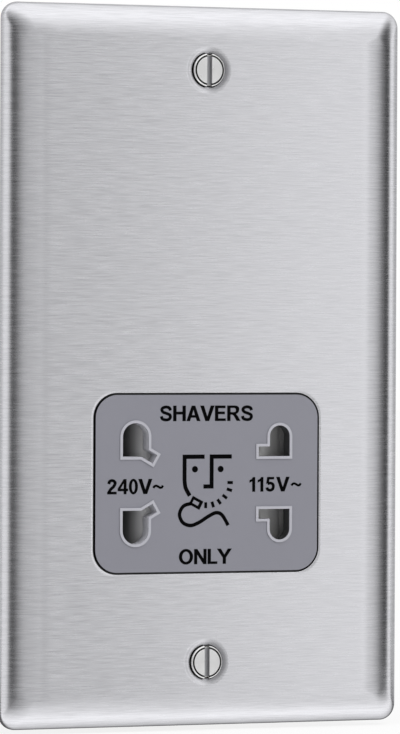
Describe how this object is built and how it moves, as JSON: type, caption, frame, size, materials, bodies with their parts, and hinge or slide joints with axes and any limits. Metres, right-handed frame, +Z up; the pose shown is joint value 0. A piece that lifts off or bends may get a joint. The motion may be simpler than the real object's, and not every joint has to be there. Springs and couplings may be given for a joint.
{
  "type": "shaver socket",
  "caption": "Dual-voltage shaver supply unit: brushed steel wall plate, shuttered socket insert, isolating transformer and rear case.",
  "frame": {"origin": "centre of the plate's back edge, on the wall's surface", "axes": "+X right, +Y into the wall, +Z up; the front faces -Y"},
  "size_m": [0.0868, 0.0427, 0.1468],
  "materials": {
    "plate_steel": "horizontally brushed stainless steel",
    "screw_steel": "bright plated steel",
    "face_plastic": "satin grey moulded plastic with printed marks",
    "frame_plastic": "dark moulded plastic",
    "body_plastic": "dark moulded plastic",
    "case_plastic": "dark grey moulded plastic",
    "shutter_plastic": "dark grey acetal",
    "contact_brass": "bright brass strip",
    "terminal_brass": "turned brass",
    "spring_steel": "drawn spring wire",
    "core_steel": "varnished laminations",
    "bobbin_nylon": "natural nylon",
    "winding_copper": "enamelled copper wire",
    "tape_film": "polyester film tape",
    "plated_steel": "zinc plated steel",
    "cutout_body": "ceramic coloured sleeve",
    "brown_insulation": "brown insulation",
    "blue_insulation": "blue insulation",
    "red_insulation": "red insulation",
    "white_insulation": "white insulation",
    "black_insulation": "black insulation"
  },
  "bodies": {
    "housing": {"front_plate": "plate_steel", "fixing_screws": "screw_steel", "socket_face": "face_plastic", "base_frame": "frame_plastic", "socket_body": "body_plastic", "shutter_spring_left": "spring_steel", "shutter_spring_right": "spring_steel", "switch_strip_in": "contact_brass", "switch_strip_out": "contact_brass", "contact_high": "contact_brass", "contact_low": "contact_brass", "contact_common": "contact_brass", "core_e": "core_steel", "core_i": "core_steel", "bobbin": "bobbin_nylon", "primary_winding": "winding_copper", "secondary_winding": "winding_copper", "winding_tape": "tape_film", "core_straps": "plated_steel", "thermal_cutout": "cutout_body", "rear_case": "case_plastic", "terminal_live": "terminal_brass", "terminal_earth": "terminal_brass", "terminal_neutral": "terminal_brass", "terminal_screws": "plated_steel", "case_screws": "plated_steel", "earth_strap": "plated_steel", "lead_live": "brown_insulation", "lead_switched": "brown_insulation", "lead_neutral": "blue_insulation", "lead_high": "red_insulation", "lead_low": "white_insulation", "lead_common": "black_insulation"},
    "shutter_carriage": {"shutter": "shutter_plastic", "switch_bridge": "contact_brass"}
  },
  "joints": [
    {"name": "shutter_slide", "type": "slide", "parent": "housing", "child": "shutter_carriage", "axis": [1, 0, 0], "range_m": [-0.01, 0.01], "stiffness_N_per_m": 120, "deforming": ["shutter_spring_left", "shutter_spring_right"]}
  ]
}
